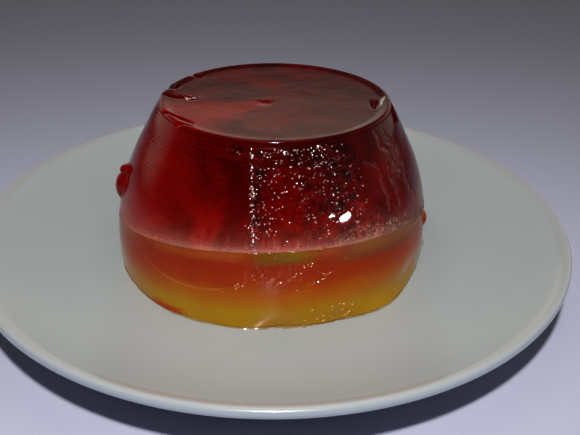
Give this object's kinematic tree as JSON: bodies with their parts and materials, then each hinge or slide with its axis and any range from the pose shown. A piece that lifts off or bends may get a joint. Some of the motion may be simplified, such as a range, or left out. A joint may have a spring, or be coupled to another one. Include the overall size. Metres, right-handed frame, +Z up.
{
  "type": "moulded jelly on a plate",
  "caption": "Bowl-moulded dessert jelly, a deep red layer over an amber one, turned out onto a round pale grey coupe plate.",
  "frame": {"origin": "centre of the plate's foot ring, on the surface that the plate stands on", "axes": "+Z up through the plate's axis, +Y away from the viewer who faces the jelly's scarred side, +X to that viewer's right"},
  "size_m": [0.26, 0.26, 0.0793],
  "materials": {
    "plate_glaze": "smooth pale grey glaze with a lighter rolled rim",
    "red_jelly": "wet, clear to cloudy, deep red",
    "amber_jelly": "wet, clear to cloudy, orange to amber yellow"
  },
  "bodies": {
    "root": {"plate": "plate_glaze", "jelly_red": "red_jelly", "jelly_amber": "amber_jelly"}
  },
  "joints": []
}
